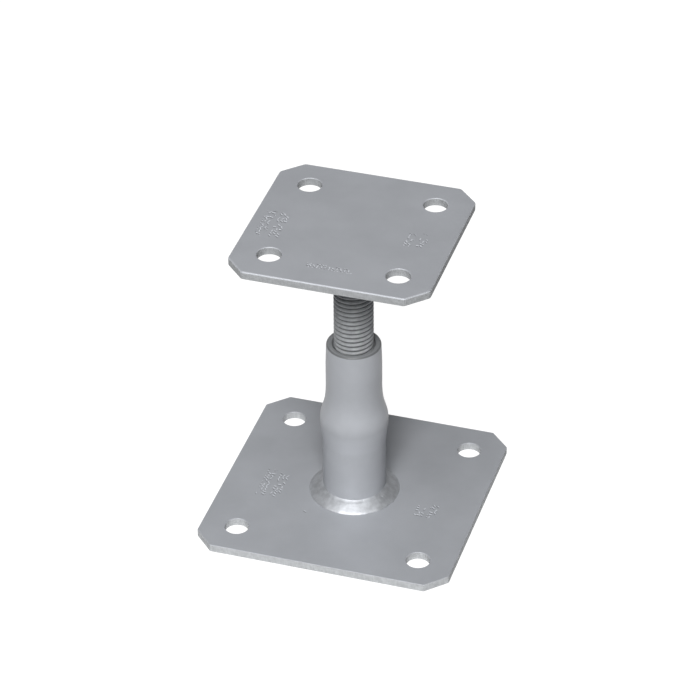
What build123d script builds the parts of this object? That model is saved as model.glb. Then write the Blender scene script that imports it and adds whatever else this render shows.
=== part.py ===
"""Adjustable post base.

A swaged steel tube stands welded on a square base plate. Its narrowed neck is tapped, and a threaded
rod with a smaller square plate welded on its end screws into the neck, so turning the upper part sets
the height. Millimetres, +Z up, with the origin at the middle of the base plate's underside.
"""

import os

from build123d import *

# Overall height at which the upper part is set
set_height = 160.0

# Base plate, blanked from flat steel with its corners cut off
base_side = 130.0
base_thickness = 4.0
base_corner_cut = 10.0
base_corner_radius = 1.0
base_edge_radius = 0.25
base_hole_inset = 18.0
base_hole_diameter = 12.0
base_hole_edge_radius = 0.4

# Top plate, a smaller blank with rolled upper edges
top_side = 100.0
top_thickness = 4.0
top_corner_cut = 10.0
top_corner_radius = 2.5
top_edge_radius = 0.8
top_hole_inset = 18.0
top_hole_diameter = 12.0
top_hole_edge_radius = 0.5

# Threaded rod, left plain here at the crest size of its 2.5 mm pitch thread
rod_diameter = 19.8
rod_length = 94.0
rod_end_chamfer = 1.5
thread_clearance = 0.05

# Tube, from its foot on the base plate up to its tapped neck, whose end face dips towards the thread
tube_diameter = 31.8
tube_wall = 3.0
plain_length = 30.0
swell_diameter = 34.2
swell_length = 14.0
shoulder_length = 22.0
shoulder_ease = 2.0
neck_diameter = 28.0
neck_length = 24.0
lip_diameter = 27.2
lip_taper_length = 12.0
lip_radius = 1.2
mouth_diameter = 21.8
mouth_sink = 0.5

# Weld beads
base_weld_leg = 7.0
base_weld_height = 4.5
base_weld_crown = 0.3
top_weld_leg = 4.0
top_weld_height = 4.0
top_weld_crown = 0.5

# Worked out from the sizes above
tube_foot = base_thickness
swell_start = tube_foot + plain_length
swell_peak = swell_start + swell_length
neck_start = swell_peak + shoulder_length
tube_top = neck_start + neck_length
lip_taper_start = tube_top - lip_taper_length
bore_radius = rod_diameter / 2 + thread_clearance
mouth_edge = tube_top - mouth_sink
mouth_depth = mouth_diameter / 2 - bore_radius
top_underside = set_height - top_thickness
rod_bottom = top_underside - rod_length

os.makedirs("parts", exist_ok=True)


def flat_plate(side, thickness, corner_cut, corner_radius, edge_radius,
               hole_inset, hole_diameter, hole_edge_radius, underside):
    """Square plate with cut corners and four punched holes, both rounded over at the upper face."""
    hole_spacing = side - 2 * hole_inset
    with BuildPart() as plate:
        with BuildSketch(Plane.XY.offset(underside)) as outline:
            Rectangle(side, side)
            chamfer(outline.vertices(), corner_cut)
            fillet(outline.vertices(), corner_radius)
            with GridLocations(hole_spacing, hole_spacing, 2, 2):
                Circle(hole_diameter / 2, mode=Mode.SUBTRACT)
        extrude(amount=thickness)
        upper_face = plate.faces().sort_by(Axis.Z)[-1]
        fillet(upper_face.outer_wire().edges(), edge_radius)
        upper_face = plate.faces().sort_by(Axis.Z)[-1]
        hole_rims = [edge for wire in upper_face.inner_wires() for edge in wire.edges()]
        fillet(hole_rims, hole_edge_radius)
    return plate.part


def weld_bead(shaft_radius, leg, height, crown, seat, direction):
    """Ring of weld in the corner between a shaft and a plate; direction is +1 above the plate, -1 below it."""
    plate_toe = (shaft_radius + leg, seat)
    shaft_toe = (shaft_radius, seat + direction * height)
    slope = (leg**2 + height**2) ** 0.5
    crest = (shaft_radius + leg / 2 + crown * height / slope, seat + direction * (height / 2 + crown * leg / slope))
    with BuildPart() as bead:
        with BuildSketch(Plane.XZ):
            with BuildLine():
                Line((shaft_radius, seat), plate_toe)
                ThreePointArc(plate_toe, crest, shaft_toe)
                Line(shaft_toe, (shaft_radius, seat))
            make_face()
        revolve(axis=Axis.Z)
    return bead.part


with BuildPart() as base_plate:
    add(flat_plate(base_side, base_thickness, base_corner_cut, base_corner_radius, base_edge_radius,
                   base_hole_inset, base_hole_diameter, base_hole_edge_radius, 0))
base_plate.part.label = "base_plate"
export_step(base_plate.part, "parts/base_plate.step")

with BuildPart() as threaded_tube:
    with BuildSketch(Plane.XZ) as tube_section:
        with BuildLine():
            Polyline((tube_diameter / 2 - tube_wall, tube_foot), (tube_diameter / 2, tube_foot),
                     (tube_diameter / 2, swell_start))
            Spline((tube_diameter / 2, swell_start), (swell_diameter / 2, swell_peak), tangents=((0, 1), (0, 1)))
            Spline((swell_diameter / 2, swell_peak), (neck_diameter / 2, neck_start), tangents=((0, 1), (0, 1)),
                   tangent_scalars=(1, shoulder_ease))
            Polyline((neck_diameter / 2, neck_start), (neck_diameter / 2, lip_taper_start),
                     (lip_diameter / 2, tube_top), (mouth_diameter / 2, mouth_edge),
                     (bore_radius, mouth_edge - mouth_depth), (bore_radius, neck_start),
                     (tube_diameter / 2 - tube_wall, swell_peak), (tube_diameter / 2 - tube_wall, tube_foot))
        make_face()
        fillet(tube_section.vertices().sort_by(Axis.Y)[-1], lip_radius)
    revolve(axis=Axis.Z)
threaded_tube.part.label = "threaded_tube"
export_step(threaded_tube.part, "parts/threaded_tube.step")

with BuildPart() as base_weld:
    add(weld_bead(tube_diameter / 2, base_weld_leg, base_weld_height, base_weld_crown, tube_foot, 1))
base_weld.part.label = "base_weld"
export_step(base_weld.part, "parts/base_weld.step")

with BuildPart() as threaded_rod:
    with BuildSketch(Plane.XY.offset(rod_bottom)):
        Circle(rod_diameter / 2)
    extrude(amount=rod_length)
    chamfer(threaded_rod.edges().group_by(Axis.Z)[0], rod_end_chamfer)
threaded_rod.part.label = "threaded_rod"
export_step(threaded_rod.part, "parts/threaded_rod.step")

with BuildPart() as top_weld:
    add(weld_bead(rod_diameter / 2, top_weld_leg, top_weld_height, top_weld_crown, top_underside, -1))
top_weld.part.label = "top_weld"
export_step(top_weld.part, "parts/top_weld.step")

with BuildPart() as top_plate:
    add(flat_plate(top_side, top_thickness, top_corner_cut, top_corner_radius, top_edge_radius,
                   top_hole_inset, top_hole_diameter, top_hole_edge_radius, top_underside))
top_plate.part.label = "top_plate"
export_step(top_plate.part, "parts/top_plate.step")
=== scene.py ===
"""Looks of the adjustable post base: coated plates and tube, a rolled thread and two weld beads."""

from __future__ import annotations

import logging
import math
from collections.abc import Callable
from dataclasses import dataclass
from enum import Enum

import bmesh
import bpy
from mathutils import Matrix, Vector


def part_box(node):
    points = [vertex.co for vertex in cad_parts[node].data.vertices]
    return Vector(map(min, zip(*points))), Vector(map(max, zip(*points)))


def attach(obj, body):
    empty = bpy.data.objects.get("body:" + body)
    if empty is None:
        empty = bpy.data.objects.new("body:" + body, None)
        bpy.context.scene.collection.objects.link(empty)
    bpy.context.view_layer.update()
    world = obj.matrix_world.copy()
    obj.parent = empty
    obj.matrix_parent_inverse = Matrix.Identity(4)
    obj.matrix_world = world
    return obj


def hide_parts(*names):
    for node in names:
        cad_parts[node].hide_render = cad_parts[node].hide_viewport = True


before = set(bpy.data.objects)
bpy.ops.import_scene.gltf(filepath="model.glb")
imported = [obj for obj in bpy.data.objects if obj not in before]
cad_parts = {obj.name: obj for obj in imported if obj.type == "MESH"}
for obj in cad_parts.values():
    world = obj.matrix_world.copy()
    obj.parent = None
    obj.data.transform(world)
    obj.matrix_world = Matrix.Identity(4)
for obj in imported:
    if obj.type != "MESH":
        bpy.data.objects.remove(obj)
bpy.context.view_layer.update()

log = logging.getLogger("post_base")

MM = 0.001
Colour = tuple[float, float, float]
Range = tuple[float, float]


def grey(level: float, tint: float = 0.0) -> Colour:
    """Grey of that linear level, a little bluer for a positive tint."""
    return (level * (1 - tint), level, level * (1 + tint))


def scaled(colour: Colour, share: float) -> Colour:
    """A colour at that share of its strength."""
    red, green, blue = colour
    return (share * red, share * green, share * blue)


@dataclass(frozen=True)
class Noise:
    """Noise pattern: features to a metre, layers of detail and how rough they make it."""

    scale: float
    detail: float = 2.0
    roughness: float = 0.5


class Signal:
    """A number or vector that flows through a node tree; arithmetic on it adds Math nodes."""

    def __init__(self, graph: Graph, socket: bpy.types.NodeSocket) -> None:
        """Hold the socket and the graph that it belongs to."""
        self.graph = graph
        self.socket = socket

    def __add__(self, other: Value) -> Signal:
        """Sum."""
        return self.graph.math("ADD", self, other)

    __radd__ = __add__

    def __sub__(self, other: Value) -> Signal:
        """Difference."""
        return self.graph.math("SUBTRACT", self, other)

    def __rsub__(self, other: Value) -> Signal:
        """Difference, with this signal on the right."""
        return self.graph.math("SUBTRACT", other, self)

    def __mul__(self, other: Value) -> Signal:
        """Product."""
        return self.graph.math("MULTIPLY", self, other)

    __rmul__ = __mul__

    def __truediv__(self, other: Value) -> Signal:
        """Quotient."""
        return self.graph.math("DIVIDE", self, other)


Value = Signal | float


class Graph:
    """Writes a shader or geometry node tree.

    A Mix node has a set of sockets for each kind of data; the numbers are those of its colours.
    """

    usual_noise: Range = (0.3, 0.7)
    mix_ends: tuple[int, int] = (6, 7)
    mix_result: int = 2

    def __init__(self, tree: bpy.types.NodeTree) -> None:
        """Start on a tree, emptied first."""
        self.tree = tree
        tree.nodes.clear()

    def node(
        self,
        kind: str,
        settings: dict[str, object] | None = None,
        inputs: dict[str | int, object] | None = None,
    ) -> bpy.types.Node:
        """Add a node.

        Args:
            kind: The node's type name.
            settings: Its own properties, set first.
            inputs: Values or signals for its sockets, by name or number.

        Returns:
            The new node.
        """
        node = self.tree.nodes.new(kind)
        for name, value in (settings or {}).items():
            setattr(node, name, value)
        for key, value in (inputs or {}).items():
            if isinstance(value, Signal):
                self.tree.links.new(value.socket, node.inputs[key])
            else:
                node.inputs[key].default_value = value
        return node

    def signal(
        self,
        kind: str,
        settings: dict[str, object] | None = None,
        inputs: dict[str | int, object] | None = None,
        output: str | int = 0,
    ) -> Signal:
        """Add a node and give one of its outputs.

        Args:
            kind: The node's type name.
            settings: Its own properties.
            inputs: Values or signals for its sockets.
            output: Name or number of the output wanted.

        Returns:
            That output as a signal.
        """
        return Signal(self, self.node(kind, settings, inputs).outputs[output])

    def math(self, operation: str, *values: Value) -> Signal:
        """Math node of that operation on one to three values."""
        return self.signal("ShaderNodeMath", {"operation": operation}, dict(enumerate(values)))

    def clamp(self, value: Value) -> Signal:
        """A value held between 0 and 1."""
        return self.math("MINIMUM", self.math("MAXIMUM", value, 0.0), 1.0)

    def ramp(
        self, value: Value, low: float, high: float, start: float = 0.0, end: float = 1.0
    ) -> Signal:
        """Smooth step of a value.

        Args:
            value: What is read.
            low: Reading at which the step begins.
            high: Reading at which it ends.
            start: Result up to low.
            end: Result from high on.

        Returns:
            The stepped signal.
        """
        inputs = {
            "Value": value,
            "From Min": low,
            "From Max": high,
            "To Min": start,
            "To Max": end,
        }
        return self.signal("ShaderNodeMapRange", {"interpolation_type": "SMOOTHSTEP"}, inputs)

    def fall(self, value: Value, low: float, high: float) -> Signal:
        """Smooth step down from 1 to 0."""
        return self.ramp(value, low, high, 1.0, 0.0)

    def noise(self, place: Signal, pattern: Noise) -> Signal:
        """Noise of a pattern.

        Args:
            place: Where it is read.
            pattern: Its features and detail.

        Returns:
            The noise, from 0 to 1.
        """
        inputs = {
            "Vector": place,
            "Scale": pattern.scale,
            "Detail": pattern.detail,
            "Roughness": pattern.roughness,
        }
        return self.signal("ShaderNodeTexNoise", {"noise_dimensions": "3D"}, inputs)

    def tone(self, noise: Signal) -> Signal:
        """Noise spread so that its usual values run from 0 to 1."""
        return self.ramp(noise, *self.usual_noise)

    def place(self) -> Signal:
        """Object coordinates in metres."""
        return self.signal("ShaderNodeTexCoord", output="Object")

    def upwards(self) -> Signal:
        """How far a surface faces up, from -1 to 1."""
        return self.split(self.signal("ShaderNodeNewGeometry", output="Normal"))[2]

    def split(self, vector: Signal) -> tuple[Signal, Signal, Signal]:
        """The three components of a vector."""
        node = self.node("ShaderNodeSeparateXYZ", inputs={0: vector})
        return tuple(Signal(self, output) for output in node.outputs)

    def join(self, x: Value, y: Value, z: Value) -> Signal:
        """Vector from three components."""
        return self.signal("ShaderNodeCombineXYZ", inputs={0: x, 1: y, 2: z})

    def mix(self, factor: Value, first: Signal | Colour, second: Signal | Colour) -> Signal:
        """Colour between two.

        Args:
            factor: 0 for the first colour and 1 for the second.
            first: First colour, plain or varying.
            second: Second colour, plain or varying.

        Returns:
            The mixed colour.
        """
        inputs: dict[str | int, object] = {0: factor}
        for key, end in zip(self.mix_ends, (first, second)):
            inputs[key] = end if isinstance(end, Signal) else (*end, 1.0)
        return self.signal("ShaderNodeMix", {"data_type": "RGBA"}, inputs, self.mix_result)

    def shade(self, factor: Value, colour: Colour, shares: Range) -> Signal:
        """Colour whose strength goes from one share to the other, by factor."""
        return self.mix(factor, scaled(colour, shares[0]), scaled(colour, shares[1]))

    def bump(self, height: Signal, distance: float, under: Signal | None = None) -> Signal:
        """Normal raised by a height.

        Args:
            height: Height signal, 1 being the full distance.
            distance: Relief in metres at a height of 1.
            under: Normal that this relief lies on.

        Returns:
            The bent normal.
        """
        inputs: dict[str | int, object] = {"Height": height, "Distance": distance}
        if under is not None:
            inputs["Normal"] = under
        return self.signal("ShaderNodeBump", inputs=inputs)


def new_material(name: str) -> tuple[bpy.types.Material, Graph]:
    """Start a node material.

    Args:
        name: Name of the material.

    Returns:
        The empty material and the graph that writes it.
    """
    material = bpy.data.materials.new(name)
    material.use_nodes = True
    return material, Graph(material.node_tree)


def finish_with(graph: Graph, principled: dict[str | int, object]) -> None:
    """Close a material with a Principled shader of those inputs."""
    shader = graph.signal("ShaderNodeBsdfPrincipled", inputs=principled)
    graph.node("ShaderNodeOutputMaterial", inputs={"Surface": shader})


@dataclass(frozen=True)
class StampedPatch:
    """Patch of a plate that is struck, in millimetres."""

    centre: tuple[float, float]
    size: tuple[float, float]

    def inside(self, graph: Graph, x: Signal, y: Signal) -> Signal:
        """Where the patch is.

        Args:
            graph: Graph to write in.
            x: Object X in metres.
            y: Object Y in metres.

        Returns:
            1 in the patch and 0 outside it.
        """
        off_x = graph.math("ABSOLUTE", x / MM - self.centre[0])
        off_y = graph.math("ABSOLUTE", y / MM - self.centre[1])
        width, height = self.size
        in_width = graph.math("LESS_THAN", off_x, width / 2)
        in_height = graph.math("LESS_THAN", off_y, height / 2)
        return in_width * in_height


@dataclass(frozen=True)
class Strokes:
    """Short plain strokes, one to a square cell, each at its own angle and some left out.

    The cell, width and length are in millimetres. The shares are of the width and the length:
    how far from its middle a stroke begins to fade, and how far off it ends. Cells are counted
    from the first one, far outside the plates, so that their numbers are positive.
    """

    cell: float = 1.9
    width: float = 0.7
    length: float = 2.1
    width_shares: Range = (0.3, 0.6)
    length_shares: Range = (0.4, 0.5)
    left_out: float = 0.35
    first_cell: float = -100.0

    def mask(self, graph: Graph, x: Signal, y: Signal) -> Signal:
        """Where the strokes are.

        Args:
            graph: Graph to write in.
            x: Object X in metres.
            y: Object Y in metres.

        Returns:
            1 on a stroke and 0 off it.
        """
        across = x / (self.cell * MM) - self.first_cell
        along = y / (self.cell * MM) - self.first_cell
        cell = graph.join(graph.math("FLOOR", across), graph.math("FLOOR", along), 0.0)
        dice = graph.node("ShaderNodeTexWhiteNoise", {"noise_dimensions": "2D"}, {"Vector": cell})
        chance, colour = (Signal(graph, output) for output in dice.outputs)
        angle = graph.split(colour)[0] * math.pi
        dx = (graph.math("FRACT", across) - 0.5) * self.cell
        dy = (graph.math("FRACT", along) - 0.5) * self.cell
        cosine, sine = graph.math("COSINE", angle), graph.math("SINE", angle)
        off_line = graph.math("ABSOLUTE", dx * sine - dy * cosine)
        off_middle = graph.math("ABSOLUTE", dx * cosine + dy * sine)
        line = graph.fall(off_line, *(self.width * share for share in self.width_shares))
        ends = graph.fall(off_middle, *(self.length * share for share in self.length_shares))
        return line * ends * graph.math("GREATER_THAN", chance, self.left_out)


@dataclass(frozen=True)
class Stamping:
    """Strokes struck into patches of a plate, with a painted highlight on their floor and a painted
    shadow along one side.

    A share is of the plate's own colour, and a strength is how much of the new colour shows.
    """

    patches: tuple[StampedPatch, ...]
    strokes: Strokes = Strokes()
    depth: float = 0.18 * MM
    # Offset, darkness and strength of the painted shadow, then brightness and strength of the
    # painted highlight.
    painted_shadow_offset: float = 0.6 * MM
    painted_shadow_share: float = 0.5
    painted_shadow_strength: float = 0.8
    painted_highlight_share: float = 1.65
    painted_highlight_strength: float = 0.9

    def strike(
        self, graph: Graph, place: Signal, face: Colour, colour: Signal, relief: Signal
    ) -> tuple[Signal, Signal]:
        """Strike the strokes into a finish.

        Args:
            graph: Graph to write in.
            place: Object coordinates.
            face: Plain colour of the plate's face.
            colour: Colour of the finish so far.
            relief: Its normal so far.

        Returns:
            The struck colour and normal.
        """
        x, y, _ = graph.split(place)
        patches = sum(patch.inside(graph, x, y) for patch in self.patches)
        struck_here = graph.math("GREATER_THAN", patches, 0.5)
        floor = self.strokes.mask(graph, x, y) * struck_here
        # An offset copy of the strokes, which carries the painted shadow along one side of each.
        side = self.strokes.mask(graph, x, y + self.painted_shadow_offset) * struck_here
        # Painted shadow first, then a painted highlight on each stroke's floor; the floor's relief
        # below is real.
        colour = graph.mix(side * self.painted_shadow_strength, colour, scaled(face, self.painted_shadow_share))
        colour = graph.mix(floor * self.painted_highlight_strength, colour, scaled(face, self.painted_highlight_share))
        return colour, graph.bump(1 - floor, self.depth, under=relief)


@dataclass(frozen=True)
class Coat:
    """Satin zinc-grey coat with soft clouds and a fine grain."""

    clouds: Noise
    cloud_relief: float
    grain: Noise = Noise(2600.0, 2.0, 0.6)
    grain_relief: float = 0.012 * MM
    cloud_share: float = 0.8
    grain_share: float = 0.2
    shades: Range = (0.96, 1.04)
    uneven_gloss: float = 0.08

    def lay(self, graph: Graph, place: Signal, face: Colour) -> tuple[Signal, Signal, Signal]:
        """Write the coat's pattern.

        Args:
            graph: Graph to write in.
            place: Object coordinates.
            face: Plain colour of the coat.

        Returns:
            Its colour, its normal and what the grain adds to its roughness.
        """
        clouds = graph.noise(place, self.clouds)
        grain = graph.noise(place, self.grain)
        tone = graph.tone(clouds * self.cloud_share + grain * self.grain_share)
        relief = graph.bump(clouds, self.cloud_relief, under=graph.bump(grain, self.grain_relief))
        return graph.shade(tone, face, self.shades), relief, (grain - 0.5) * self.uneven_gloss


@dataclass(frozen=True)
class CoatedSteel:
    """Coated flat steel with rough sheared edges and stamped strokes.

    The tilts are how far up a surface faces at both ends of a soft change into the flat face: out
    of the sheared side, and out of the rim with its rounded edge.
    """

    name: str
    stamping: Stamping
    face: Colour
    sheared: Colour
    roughness: float
    edge_roughness: float
    metallic: float = 0.36
    edge_metallic: float = 0.1
    coat: Coat = Coat(clouds=Noise(45.0, 3.0, 0.55), cloud_relief=0.25 * MM)
    side_tilt: Range = (0.15, 0.45)
    rim_tilt: Range = (0.6, 0.98)
    streaks: Noise = Noise(1900.0, 3.0, 0.6)
    streak_stretch: float = 0.12
    patches: Noise = Noise(420.0, 3.0, 0.6)
    torn_range: Range = (0.35, 0.65)
    torn_shades: Range = (0.88, 1.1)
    torn_relief: float = 0.12 * MM
    waves: Noise = Noise(150.0)
    wave_relief: float = 0.5 * MM

    def torn(self, graph: Graph, place: Signal) -> Signal:
        """Torn surface of the edges: upright streaks and patches.

        Args:
            graph: Graph to write in.
            place: Object coordinates.

        Returns:
            How far the metal is torn, from 0 to 1.
        """
        x, y, z = graph.split(place)
        streaks = graph.noise(graph.join(x, y, z * self.streak_stretch), self.streaks)
        patches = graph.noise(place, self.patches)
        return graph.ramp(streaks * 0.5 + patches * 0.5, *self.torn_range)

    def material(self) -> bpy.types.Material:
        """Write the material.

        Returns:
            The finished material.
        """
        material, graph = new_material(self.name)
        place = graph.place()
        level = graph.math("ABSOLUTE", graph.upwards())
        side = graph.fall(level, *self.side_tilt)
        rim = graph.fall(level, *self.rim_tilt)

        torn = self.torn(graph, place)
        sheared = graph.shade(torn, self.sheared, self.torn_shades)
        face, relief, uneven = self.coat.lay(graph, place, self.face)
        relief = graph.bump(torn * rim, self.torn_relief, under=relief)
        waves = graph.noise(place, self.waves)
        relief = graph.bump(waves * rim, self.wave_relief, under=relief)
        face, relief = self.stamping.strike(graph, place, self.face, face, relief)

        roughness = graph.ramp(rim, 0.0, 1.0, self.roughness, self.edge_roughness)
        finish_with(graph, {
            "Base Color": graph.mix(side, face, sheared),
            "Metallic": graph.ramp(side, 0.0, 1.0, self.metallic, self.edge_metallic),
            "Roughness": roughness + uneven,
            "Normal": relief,
        })
        return material


@dataclass(frozen=True)
class DrawnSteel:
    """Same coat on the swaged tube, with faint die rings, painted light where it faces a little
    downwards and a darker cut end.

    The tilts are how far up a surface faces at both ends of a soft change: out of the painted light
    where it faces a little downwards, into the rounded lip, and from the lip into the flat cut. The
    cut end reaches the end depth down from the tube's top.
    """

    name: str
    top: float
    face: Colour = (0.378, 0.391, 0.417)
    cut: Colour = grey(0.25, 0.03)
    lip: Colour = grey(0.15, 0.03)
    coat: Coat = Coat(clouds=Noise(60.0, 3.0, 0.55), cloud_relief=0.2 * MM)
    rings: Noise = Noise(900.0)
    ring_stretch: float = 0.02
    ring_relief: float = 0.015 * MM
    # Painted light: share of the coat's colour where the surface faces a little downwards, under
    # the swell.
    painted_light_share: float = 1.14
    painted_light_tilt: Range = (-0.13, -0.01)
    lip_tilt: Range = (0.08, 0.4)
    cut_tilt: Range = (0.8, 0.98)
    end_depth: float = 1.5 * MM
    specular: float = 0.3
    metallic: float = 0.06
    roughness: float = 0.4

    def material(self) -> bpy.types.Material:
        """Write the material.

        Returns:
            The finished material.
        """
        material, graph = new_material(self.name)
        place = graph.place()
        x, y, z = graph.split(place)
        coat, relief, uneven = self.coat.lay(graph, place, self.face)
        around = graph.join(x * self.ring_stretch, y * self.ring_stretch, z)
        relief = graph.bump(graph.noise(around, self.rings), self.ring_relief, under=relief)

        upwards = graph.upwards()
        # Painted light: the coat is made lighter where the surface faces a little downwards, under
        # the swell.
        painted_light_mask = graph.fall(upwards, *self.painted_light_tilt)
        coat = graph.mix(painted_light_mask, coat, scaled(self.face, self.painted_light_share))
        end = graph.mix(graph.ramp(upwards, *self.cut_tilt), self.lip, self.cut)
        at_end = graph.ramp(z, self.top - self.end_depth, self.top - self.end_depth / 2)
        finish_with(graph, {
            "Base Color": graph.mix(graph.ramp(upwards, *self.lip_tilt) * at_end, coat, end),
            "Metallic": self.metallic,
            "Specular IOR Level": self.specular,
            "Roughness": self.roughness + uneven,
            "Normal": relief,
        })
        return material


@dataclass(frozen=True)
class RolledSteel:
    """Zinc-plated steel of the rolled thread, with painted shade in its roots."""

    name: str
    face: Colour = grey(0.34, 0.03)
    face_shades: Range = (0.85, 1.12)
    # Painted shade: colour of the thread's roots, reached at the root radius and gone at the crest
    # radius.
    painted_root_shade: Colour = grey(0.155, 0.03)
    root_radius: float = 8.6 * MM
    crest_radius: float = 9.2 * MM
    wear: Noise = Noise(350.0, 4.0, 0.6)
    wear_gloss: float = 0.2
    grain: Noise = Noise(3200.0, 2.0, 0.6)
    grain_relief: float = 0.01 * MM
    specular: float = 0.1
    metallic: float = 0.05
    roughness: float = 0.4

    def material(self) -> bpy.types.Material:
        """Write the material.

        Returns:
            The finished material.
        """
        material, graph = new_material(self.name)
        place = graph.place()
        x, y, _ = graph.split(place)
        radius = graph.math("SQRT", x * x + y * y)
        wear = graph.noise(place, self.wear)
        face = graph.shade(graph.tone(wear), self.face, self.face_shades)
        # Painted shade: the colour darkens from the crests down into the roots of the thread.
        crest = graph.ramp(radius, self.root_radius, self.crest_radius)
        finish_with(graph, {
            "Base Color": graph.mix(crest, self.painted_root_shade, face),
            "Metallic": self.metallic,
            "Specular IOR Level": self.specular,
            "Roughness": self.roughness + (wear - 0.5) * self.wear_gloss,
            "Normal": graph.bump(graph.noise(place, self.grain), self.grain_relief),
        })
        return material


@dataclass(frozen=True)
class WeldMetal:
    """Bright weld metal, mottled and finely pitted."""

    name: str
    face: Colour = (0.525, 0.541, 0.567)
    face_shades: Range = (0.85, 1.08)
    mottle: Noise = Noise(300.0, 4.0, 0.6)
    mottle_relief: float = 0.035 * MM
    pits: Noise = Noise(900.0, 2.0, 0.6)
    pit_range: Range = (0.66, 0.74)
    pit_relief: float = 0.08 * MM
    pit_shade: float = 0.5
    pit_roughness: float = 0.2
    metallic: float = 0.8
    roughness: float = 0.58

    def material(self) -> bpy.types.Material:
        """Write the material.

        Returns:
            The finished material.
        """
        material, graph = new_material(self.name)
        place = graph.place()
        mottle = graph.noise(place, self.mottle)
        pits = graph.ramp(graph.noise(place, self.pits), *self.pit_range)
        tone = graph.tone(mottle) * (1 - pits * self.pit_shade)
        relief = graph.bump(mottle, self.mottle_relief)
        finish_with(graph, {
            "Base Color": graph.shade(tone, self.face, self.face_shades),
            "Metallic": self.metallic,
            "Roughness": self.roughness + pits * self.pit_roughness,
            "Normal": graph.bump(1 - pits, self.pit_relief, under=relief),
        })
        return material


class Rule:
    """Geometry Nodes tree with named inputs, turned into a plain mesh."""

    seam: float = 0.002 * MM
    socket_types: dict[type, str] = {
        float: "NodeSocketFloat",
        int: "NodeSocketInt",
        bpy.types.Material: "NodeSocketMaterial",
    }

    def __init__(self, name: str) -> None:
        """Start an empty tree.

        Args:
            name: Name of the tree.
        """
        self.name = name
        self.tree = bpy.data.node_groups.new(name, "GeometryNodeTree")
        self.graph = Graph(self.tree)
        self.tree.interface.new_socket(
            "Geometry", in_out="OUTPUT", socket_type="NodeSocketGeometry"
        )
        self.values: dict[str, object] = {}
        self.entry = self.graph.node("NodeGroupInput")

    def input(self, name: str, value: float | int | bpy.types.Material) -> Signal:
        """Add a named input.

        Args:
            name: Name of the input.
            value: What this object gives it.

        Returns:
            The input inside the tree.
        """
        socket = self.tree.interface.new_socket(
            name, in_out="INPUT", socket_type=self.socket_types[type(value)]
        )
        self.values[socket.identifier] = value
        return Signal(self.graph, self.entry.outputs[name])

    def sheet(self, columns: Signal, rows: Signal) -> tuple[Signal, Signal, Signal]:
        """Flat grid of points.

        Args:
            columns: Number of points round the axis.
            rows: Number of points along it.

        Returns:
            The grid, and how far round and how far along it each point lies, from 0 to 1.
        """
        grid = self.graph.signal(
            "GeometryNodeMeshGrid",
            inputs={"Size X": 1.0, "Size Y": 1.0, "Vertices X": columns, "Vertices Y": rows},
        )
        x, y, _ = self.graph.split(self.graph.signal("GeometryNodeInputPosition"))
        return grid, x + 0.5, y + 0.5

    def round_axis(self, turn: Signal) -> tuple[Signal, Signal]:
        """Cosine and sine of a share of a full turn."""
        angle = turn * math.tau
        return self.graph.math("COSINE", angle), self.graph.math("SINE", angle)

    def wrap(self, sheet: Signal, turn: Signal, radius: Signal, height: Signal) -> Signal:
        """Place a sheet's points round the Z axis and close its seam.

        Args:
            sheet: The grid.
            turn: Share of a full turn of each point.
            radius: Distance from the axis.
            height: Height along the axis.

        Returns:
            The closed geometry.
        """
        cosine, sine = self.round_axis(turn)
        place = self.graph.join(cosine * radius, sine * radius, height)
        placed = self.graph.signal(
            "GeometryNodeSetPosition", inputs={"Geometry": sheet, "Position": place}
        )
        return self.graph.signal(
            "GeometryNodeMergeByDistance", inputs={"Geometry": placed, "Distance": self.seam}
        )

    def close(self, geometry: Signal, material: Signal) -> None:
        """End the tree: smooth, realised and with its material.

        Args:
            geometry: What the tree has made.
            material: Its finish.
        """
        smooth = self.graph.signal("GeometryNodeSetShadeSmooth", inputs={"Geometry": geometry})
        real = self.graph.signal("GeometryNodeRealizeInstances", inputs={"Geometry": smooth})
        dressed = self.graph.signal(
            "GeometryNodeSetMaterial", inputs={"Geometry": real, "Material": material}
        )
        self.graph.node("NodeGroupOutput", inputs={0: dressed})

    def to_object(
        self, name: str, edit: Callable[[bmesh.types.BMesh], None] | None = None
    ) -> bpy.types.Object:
        """Run the tree.

        Args:
            name: Name of the finished piece.
            edit: Last change to its mesh, if any.

        Returns:
            A plain mesh object at the origin, its faces pointing outwards.
        """
        piece = bpy.data.objects.new(name, bpy.data.meshes.new(name))
        bpy.context.scene.collection.objects.link(piece)
        modifier = piece.modifiers.new(self.name, "NODES")
        modifier.node_group = self.tree
        for identifier, value in self.values.items():
            modifier[identifier] = value
        evaluated = piece.evaluated_get(bpy.context.evaluated_depsgraph_get())
        mesh = bpy.data.meshes.new_from_object(evaluated)
        piece.modifiers.clear()
        piece.data = mesh
        mesh.name = name
        shape = bmesh.new()
        shape.from_mesh(mesh)
        if edit is not None:
            edit(shape)
        bmesh.ops.recalc_face_normals(shape, faces=shape.faces)
        shape.to_mesh(mesh)
        shape.free()
        return piece


def node_radii(node: str) -> tuple[float, float]:
    """Smallest and largest distance of a CAD node's points from the Z axis."""
    radii = [vertex.co.xy.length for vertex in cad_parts[node].data.vertices]
    return min(radii), max(radii)


def dress(node: str, material: bpy.types.Material) -> None:
    """Give a CAD node its finish.

    Args:
        node: Name of the node.
        material: Its only material from now on.
    """
    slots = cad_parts[node].data.materials
    slots.clear()
    slots.append(material)


def set_piece(piece: bpy.types.Object, body: str, node: str) -> None:
    """Tie a finished piece to the frame.

    Args:
        piece: The piece.
        body: Body that it moves with.
        node: CAD node that it stands for.
    """
    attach(piece, body)
    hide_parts(node)


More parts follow.
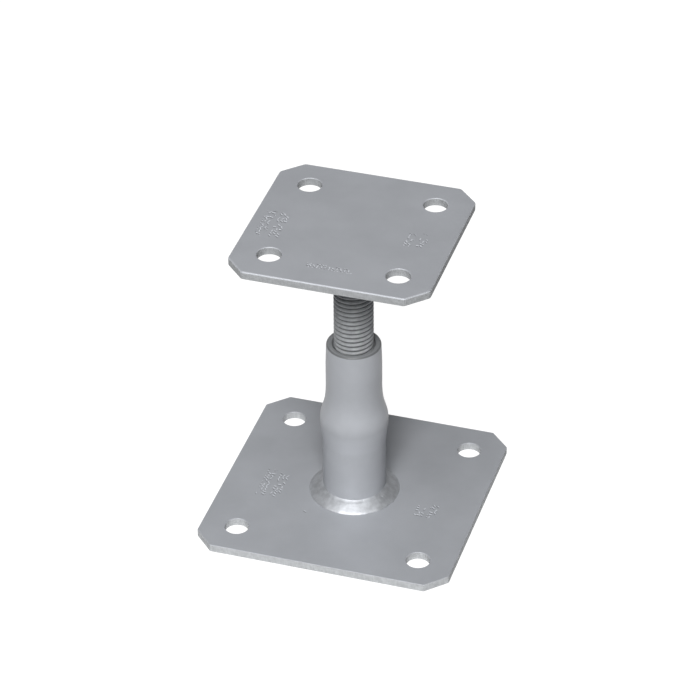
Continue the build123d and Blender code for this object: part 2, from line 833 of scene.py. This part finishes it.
@dataclass
class Plates:
    """The two flat plates, which keep their CAD shapes."""

    base_stamps: tuple[StampedPatch, ...] = (
        StampedPatch((-44.0, -9.0), (5.0, 23.0)),
        StampedPatch((-37.0, -9.0), (5.0, 20.0)),
        StampedPatch((37.0, -9.0), (4.5, 9.0)),
        StampedPatch((43.5, -8.0), (4.5, 11.0)),
        StampedPatch((-18.2, -26.1), (1.6, 1.6)),
    )
    top_stamps: tuple[StampedPatch, ...] = (
        StampedPatch((-42.0, -6.5), (5.0, 22.0)),
        StampedPatch((-35.0, -6.5), (5.0, 22.0)),
        StampedPatch((28.5, -1.0), (4.5, 11.0)),
        StampedPatch((35.0, 0.0), (4.0, 12.0)),
        StampedPatch((-0.8, -35.0), (23.0, 3.6)),
    )

    def dress(self) -> None:
        """Give both plates their coat, edges and stamped strokes."""
        base = CoatedSteel(
            "coated_base_plate",
            Stamping(self.base_stamps),
            face=(0.435, 0.451, 0.481),
            sheared=grey(0.53, 0.03),
            roughness=0.5,
            edge_roughness=0.6,
        )
        top = CoatedSteel(
            "coated_top_plate",
            Stamping(self.top_stamps),
            face=(0.462, 0.478, 0.510),
            sheared=grey(0.35, 0.03),
            roughness=0.42,
            edge_roughness=0.62,
        )
        dress("base_plate", base.material())
        dress("top_plate", top.material())


@dataclass
class SwagedTube:
    """The upright tube, which keeps its CAD shape."""

    node: str = "threaded_tube"

    def dress(self) -> None:
        """Give the tube its coat and its cut end."""
        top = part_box(self.node)[1].z
        dress(self.node, DrawnSteel("coated_tube", top).material())


@dataclass
class ThreadedRod:
    """Rod with a rolled right-hand metric thread.

    The depth and both flats are shares of the pitch, and so is start, by which the helix is
    raised. The grid begins the spare turns below the rod's foot.
    """

    node: str = "threaded_rod"
    pitch: float = 2.5 * MM
    start: float = 0.24
    spare_turns: int = 2
    crest_inset: float = 0.05 * MM
    depth_share: float = 0.6134
    crest_flat: float = 0.25
    root_flat: float = 0.05
    end_chamfer: float = 1.5 * MM
    end_reach: float = 0.1 * MM
    columns: int = 72
    rows_per_turn: int = 16

    def build(self, material: bpy.types.Material) -> bpy.types.Object:
        """Make the thread from its pitch and depth.

        Args:
            material: Finish of the thread.

        Returns:
            The rod, its thread running past both ends and cut off flat there.
        """
        low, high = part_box(self.node)
        turns = math.ceil((high.z - low.z) / self.pitch) + self.spare_turns
        rule = Rule("rolled_thread")
        graph = rule.graph
        crest = rule.input("Crest radius", node_radii(self.node)[1] - self.crest_inset)
        depth = rule.input("Thread depth", self.pitch * self.depth_share)
        pitch = rule.input("Pitch", self.pitch)
        foot = rule.input("Foot height", float(low.z))
        lead = rule.input("Turns", float(turns))
        chamfer = rule.input("End chamfer", self.end_chamfer)
        columns = rule.input("Columns", self.columns + 1)
        rows = rule.input("Rows", turns * self.rows_per_turn + 1)
        finish = rule.input("Finish", material)

        sheet, turn, along = rule.sheet(columns, rows)
        travel = along * lead
        height = foot + (travel + turn - (self.spare_turns - self.start)) * pitch
        off_crest = graph.math("ABSOLUTE", graph.math("FRACT", travel) - 0.5) * 2
        fall = graph.ramp(off_crest, self.crest_flat, 1 - self.root_flat)
        cut_back = graph.math("MAXIMUM", foot + chamfer - height, 0.0)
        radius = graph.math("MINIMUM", crest - depth * fall, crest - cut_back)
        rule.close(rule.wrap(sheet, turn, radius, height), finish)

        def square_ends(shape: bmesh.types.BMesh) -> None:
            """Cut both ends flat and cap them.

            Args:
                shape: The thread's mesh.
            """
            for level, upwards in ((low.z, -1), (high.z, 1)):
                bmesh.ops.bisect_plane(
                    shape,
                    geom=shape.verts[:] + shape.edges[:] + shape.faces[:],
                    plane_co=(0, 0, level),
                    plane_no=(0, 0, upwards),
                    clear_outer=True,
                )
                open_edges = [edge for edge in shape.edges if edge.is_boundary]
                rim = [
                    edge for edge in open_edges
                    if abs(edge.verts[0].co.z - level) < self.end_reach
                ]
                bmesh.ops.contextual_create(shape, geom=rim)

        return rule.to_object("rolled_thread", square_ends)


@dataclass
class WeldBead:
    """Ring of weld in the corner between a shaft and a plate.

    Its face runs from the toe on the plate to the toe on the shaft, and its hidden rows close it
    inside the metal. The noises run round a ring of radius 1.
    """

    node: str
    name: str
    upwards: bool
    crown: float
    ripples: int
    wander: float = 0.5 * MM
    plate_toe: Noise = Noise(2.6, 3.0, 0.6)
    shaft_toe: Noise = Noise(3.4, 3.0, 0.6)
    toe_sharpness: float = 9.0
    cove_start: float = 0.72
    cove: float = 0.11 * MM
    ripple_height: float = 0.006 * MM
    ripple_bow: float = 5.0
    ripple_drift: float = 3.0
    drift: Noise = Noise(6.0)
    grit: Noise = Noise(30.0, 3.0, 0.6)
    grit_stretch: float = 0.3
    grit_share: float = 3.0
    sink: float = 0.12 * MM
    columns: int = 480
    rows: int = 24
    hidden_rows: int = 2

    def crowned(
        self, rule: Rule, turn: Signal, face: Signal, crown: Signal, ripple: Signal
    ) -> Signal:
        """Rippled and gritty crown of the bead.

        Args:
            rule: Rule to write in.
            turn: Share of a full turn.
            face: Share of the way up the face.
            crown: Height of the crown.
            ripple: Height of its ripples.

        Returns:
            How far the middle of the face stands out.
        """
        graph = rule.graph
        cosine, sine = rule.round_axis(turn)
        bow = (face - 0.5) * (face - 0.5) * self.ripple_bow
        drift = graph.noise(graph.join(cosine, sine, 0.0), self.drift) * self.ripple_drift
        beat = graph.math("SINE", turn * math.tau * float(self.ripples) + bow + drift)
        grit = graph.noise(graph.join(cosine, sine, face * self.grit_stretch), self.grit)
        return crown + beat * ripple + (grit - 0.5) * ripple * self.grit_share

    def build(self, material: bpy.types.Material) -> bpy.types.Object:
        """Make the bead from its legs and ripples.

        Args:
            material: Finish of the bead.

        Returns:
            The bead, sunk a little into the shaft and the plate.
        """
        low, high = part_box(self.node)
        inner, outer = node_radii(self.node)
        way = 1.0 if self.upwards else -1.0
        seat = low.z if self.upwards else high.z
        leg, rise = outer - inner, high.z - low.z
        slope = math.hypot(leg, rise)

        rule = Rule(self.name)
        graph = rule.graph
        shaft = rule.input("Shaft radius", inner - self.sink)
        reach = rule.input("Leg on the plate", leg + self.sink)
        climb = rule.input("Leg on the shaft", rise + self.sink)
        crown = rule.input("Crown", self.crown)
        cove = rule.input("Cove below the shaft", self.cove)
        ripple = rule.input("Ripple height", self.ripple_height)
        wander = rule.input("Toe wander", self.wander)
        columns = rule.input("Columns", self.columns + 1)
        rows = rule.input("Rows", self.rows + 1)
        finish = rule.input("Finish", material)

        sheet, turn, along = rule.sheet(columns, rows)
        seen = (self.rows - self.hidden_rows) / self.rows
        face = graph.math("MINIMUM", along / seen, 1.0)
        back = graph.math("MAXIMUM", (along - seen) / (1 - seen), 0.0)
        ring = graph.join(*rule.round_axis(turn), 0.0)
        toe = reach + (graph.noise(ring, self.plate_toe) - 0.5) * wander
        top = climb + (graph.noise(ring, self.shaft_toe) - 0.5) * wander

        swell = (1 - graph.math("POWER", 1 - face, self.toe_sharpness)) * (1 - face)
        past_start = (face - self.cove_start) / (1 - self.cove_start)
        dip = graph.math("SINE", graph.math("MAXIMUM", past_start, 0.0) * math.pi) * cove
        lift = swell * self.crowned(rule, turn, face, crown, ripple) - dip

        inward = graph.clamp(back * 2 - 1)
        outward = 1 - graph.math("MINIMUM", back * 2, 1.0)
        radius = shaft + toe * (1 - face + inward) + lift * (rise / slope)
        height = (top * face * outward + lift * (leg / slope) - self.sink) * way + seat
        rule.close(rule.wrap(sheet, turn, radius, height), finish)
        return rule.to_object(self.name)


@dataclass(frozen=True)
class SoftLight:
    """Round soft lamp: degrees round from the front towards +X, degrees up, metres and watts."""

    azimuth: float
    elevation: float
    width: float
    watts: float


class Lamp(Enum):
    """The lamps of the studio."""

    KEY = SoftLight(azimuth=13.0, elevation=45.0, width=1.2, watts=86.0)
    NEXT_TO_KEY = SoftLight(azimuth=0.0, elevation=46.0, width=0.8, watts=21.0)
    HIGH_FRONT = SoftLight(azimuth=-4.0, elevation=70.0, width=0.8, watts=20.0)
    HIGH_BACK = SoftLight(azimuth=-145.0, elevation=66.0, width=0.8, watts=5.0)


def direction(azimuth: float, elevation: float) -> Vector:
    """Way out from the object.

    Args:
        azimuth: Degrees round from the front towards +X.
        elevation: Degrees up.

    Returns:
        The unit vector.
    """
    across, up = math.radians(azimuth), math.radians(elevation)
    level = math.cos(up)
    return Vector((math.sin(across) * level, -math.cos(across) * level, math.sin(up)))


@dataclass
class Studio:
    """White floor and low wall, soft lamps and the camera.

    Angles are in degrees, the lens and its sensor in millimetres and lengths in metres. The shown
    floor is what the camera and reflections see, and the other one lights the object.
    """

    camera_place: tuple[float, float, float] = (0.4129, -1.3333, 1.0760)
    azimuth: float = 17.284
    elevation: float = 35.261
    roll: float = -0.353
    lens: float = 178.87
    sensor: float = 36.0
    clip_start: float = 0.01
    lamp_distance: float = 3.0
    lamp_aim: float = 80 * MM
    floor_radius: float = 6.0
    cove: float = 1.0
    cove_steps: int = 8
    wall_height: float = 1.2
    wall_steps: int = 96
    ambient: float = 0.01
    floor_colour: Colour = grey(0.3)
    shown_floor_colour: Colour = grey(0.14)
    shown_floor_glow: float = 0.97

    def build(self) -> None:
        """Set up everything round the object."""
        bpy.context.scene.view_settings.view_transform = "Standard"
        self.add_camera()
        self.add_backdrop()
        self.add_world()
        for lamp in Lamp:
            self.add_lamp(lamp)

    def add_camera(self) -> None:
        """Place the camera at the photograph's angle."""
        across = math.radians(self.azimuth)
        back = direction(self.azimuth, self.elevation)
        right = Vector((math.cos(across), math.sin(across), 0))
        axes = Matrix((right, back.cross(right), back)).transposed()
        camera = bpy.data.objects.new("camera", bpy.data.cameras.new("camera"))
        camera.data.lens = self.lens
        camera.data.sensor_width = self.sensor
        camera.data.clip_start = self.clip_start
        turned = axes @ Matrix.Rotation(math.radians(self.roll), 3, "Z")
        camera.matrix_world = Matrix.Translation(self.camera_place) @ turned.to_4x4()
        bpy.context.scene.collection.objects.link(camera)
        bpy.context.scene.camera = camera

    def backdrop_outline(self) -> list[tuple[float, float]]:
        """Section of the floor, its cove and the wall.

        Returns:
            Points, each a distance from the axis and a height.
        """
        flat = self.floor_radius - self.cove
        outline = [(0.0, 0.0), (flat, 0.0)]
        for step in range(1, self.cove_steps + 1):
            angle = math.radians(90 * step / self.cove_steps)
            outline.append((flat + self.cove * math.sin(angle), self.cove * (1 - math.cos(angle))))
        return [*outline, (self.floor_radius, self.wall_height)]

    def add_backdrop(self) -> None:
        """Pale floor that curves up into a low wall all round; it keeps the object's shadow."""
        shape = bmesh.new()
        points = [shape.verts.new((reach, 0.0, rise)) for reach, rise in self.backdrop_outline()]
        edges = [shape.edges.new(pair) for pair in zip(points, points[1:])]
        bmesh.ops.spin(
            shape,
            geom=points + edges,
            axis=(0, 0, 1),
            cent=(0, 0, 0),
            angle=math.tau,
            steps=self.wall_steps,
        )
        bmesh.ops.remove_doubles(shape, verts=shape.verts, dist=MM)
        mesh = bpy.data.meshes.new("backdrop")
        shape.to_mesh(mesh)
        shape.free()
        backdrop = bpy.data.objects.new("backdrop", mesh)
        bpy.context.scene.collection.objects.link(backdrop)
        mesh.materials.append(self.backdrop_paint())

    def seen_rays(self, graph: Graph) -> Signal:
        """Which rays show the backdrop.

        Args:
            graph: Graph to write in.

        Returns:
            1 for rays from the camera, a reflection or a see-through surface, 0 for the rest.
        """
        rays = graph.node("ShaderNodeLightPath")
        names = ("Is Camera Ray", "Is Glossy Ray", "Is Transmission Ray")
        camera, glossy, through = (Signal(graph, rays.outputs[name]) for name in names)
        return graph.math("MAXIMUM", camera, graph.math("MAXIMUM", glossy, through))

    def backdrop_paint(self) -> bpy.types.Material:
        """Matt pale paint that shows as white where it is lit.

        Returns:
            The finished material.
        """
        material, graph = new_material("pale_backdrop")
        paint, shown_paint = (
            graph.signal("ShaderNodeBsdfDiffuse", inputs={"Color": (*colour, 1)})
            for colour in (self.floor_colour, self.shown_floor_colour)
        )
        glow = graph.signal("ShaderNodeEmission", inputs={"Strength": self.shown_floor_glow})
        shown = graph.signal("ShaderNodeAddShader", inputs={0: shown_paint, 1: glow})
        both = graph.signal(
            "ShaderNodeMixShader", inputs={0: self.seen_rays(graph), 1: paint, 2: shown}
        )
        graph.node("ShaderNodeOutputMaterial", inputs={"Surface": both})
        return material

    def add_world(self) -> None:
        """Faint even light from above the wall."""
        world = bpy.data.worlds.new("dim_room")
        world.use_nodes = True
        graph = Graph(world.node_tree)
        light = graph.signal("ShaderNodeBackground", inputs={"Strength": self.ambient})
        graph.node("ShaderNodeOutputWorld", inputs={"Surface": light})
        bpy.context.scene.world = world

    def add_lamp(self, lamp: Lamp) -> None:
        """Hang a lamp so that it faces the object.

        Args:
            lamp: Which lamp.
        """
        data = bpy.data.lights.new(lamp.name.lower(), "AREA")
        data.shape = "DISK"
        data.size = lamp.value.width
        data.energy = lamp.value.watts
        stand = bpy.data.objects.new(data.name, data)
        away = direction(lamp.value.azimuth, lamp.value.elevation)
        stand.location = away * self.lamp_distance + Vector((0, 0, self.lamp_aim))
        stand.rotation_euler = away.to_track_quat("Z", "Y").to_euler()
        bpy.context.scene.collection.objects.link(stand)


def main() -> None:
    """Build and dress every part in order."""
    logging.basicConfig(level=logging.INFO, format="%(name)s: %(message)s")
    Plates().dress()
    log.info("plates dressed")
    SwagedTube().dress()
    log.info("tube dressed")
    thread = ThreadedRod().build(RolledSteel("plated_thread").material())
    set_piece(thread, "top_plate", "threaded_rod")
    log.info("thread: %d faces", len(thread.data.polygons))
    bright = WeldMetal("weld_metal").material()
    base_bead = WeldBead(
        "base_weld", "base_bead", upwards=True, crown=0.42 * MM, ripples=110
    ).build(bright)
    set_piece(base_bead, "base", "base_weld")
    log.info("base bead: %d faces", len(base_bead.data.polygons))
    top_bead = WeldBead(
        "top_weld", "top_bead", upwards=False, crown=0.4 * MM, ripples=60, wander=0.3 * MM
    ).build(bright)
    set_piece(top_bead, "top_plate", "top_weld")
    log.info("top bead: %d faces", len(top_bead.data.polygons))
    Studio().build()


if __name__ == "__main__":
    main()
